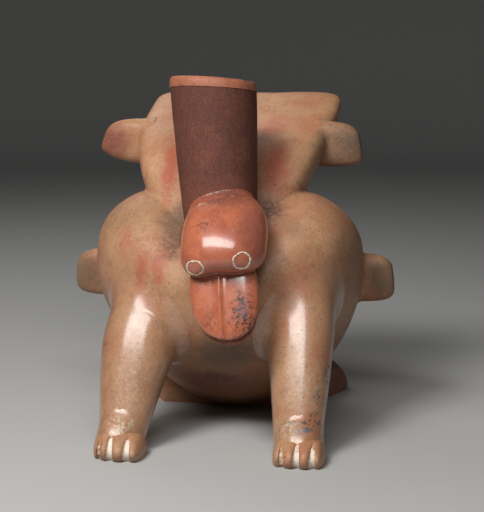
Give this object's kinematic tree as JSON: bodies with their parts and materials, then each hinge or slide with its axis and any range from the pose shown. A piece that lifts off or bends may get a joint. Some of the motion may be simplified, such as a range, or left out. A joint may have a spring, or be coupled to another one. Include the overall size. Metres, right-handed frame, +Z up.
{
  "type": "recliner-shaped effigy vessel",
  "caption": "Hollow burnished clay vessel shaped like a recliner, with a bird's head, legs, side lugs and an upright spout that opens into the body.",
  "frame": {"origin": "on the ground, under the middle of the vessel's bounding box", "axes": "+Z up, +Y towards the back where the recliner sweeps to, -Y where the bird's head looks, +X to the right of someone who faces the head"},
  "size_m": [0.2451, 0.2638, 0.252],
  "materials": {
    "buff_clay": "burnished buff slip with orange and smoky clouds",
    "red_slip": "burnished red-orange slip, specked with manganese",
    "purple_slip": "burnished purple-brown slip",
    "orange_lip": "worn orange-brown slip",
    "white_filling": "matt white filling in a cut line"
  },
  "bodies": {
    "root": {"eye_ring_left": "white_filling", "eye_ring_right": "white_filling", "foot_left": "buff_clay", "foot_right": "buff_clay", "head": "red_slip", "leg_left": "buff_clay", "leg_right": "buff_clay", "lower_bill": "red_slip", "lower_body_shell": "buff_clay", "lower_lug_left": "buff_clay", "lower_lug_right": "buff_clay", "middle_body_shell": "buff_clay", "rear_rest": "buff_clay", "recliner_back_slab": "buff_clay", "recliner_front_slab": "buff_clay", "spout_lip": "orange_lip", "spout_tube": "purple_slip", "toes_left": "buff_clay", "toes_right": "buff_clay", "upper_bill": "red_slip", "upper_body_shell": "buff_clay", "upper_lug_left": "buff_clay", "upper_lug_right": "buff_clay"}
  },
  "joints": []
}
